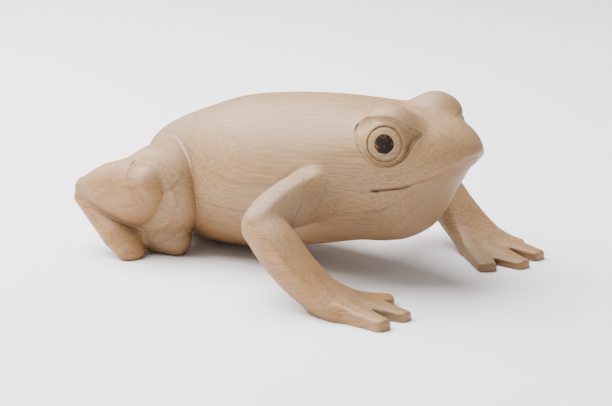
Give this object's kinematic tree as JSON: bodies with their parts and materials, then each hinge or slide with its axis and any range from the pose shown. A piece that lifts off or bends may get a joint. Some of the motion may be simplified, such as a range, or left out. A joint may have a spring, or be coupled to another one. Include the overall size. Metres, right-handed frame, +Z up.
{
  "type": "wooden frog figurine",
  "caption": "Crouching frog carved from one block of pale wood, with folded hind legs, splayed toed hands and a dark round plug set in each eye.",
  "frame": {"origin": "on the floor under the middle of the frog's bounding box", "axes": "+X the way the frog looks, +Y its left side, +Z up"},
  "size_m": [0.2004, 0.1534, 0.0863],
  "materials": {
    "wood": "pale close-grained wood, hand carved, sanded and lightly waxed to a dull satin, greyer on the back",
    "pupil": "dark end-grain plug with fine light pores, dull"
  },
  "bodies": {
    "root": {"frog": "wood", "pupil_right": "pupil", "pupil_left": "pupil"}
  },
  "joints": []
}
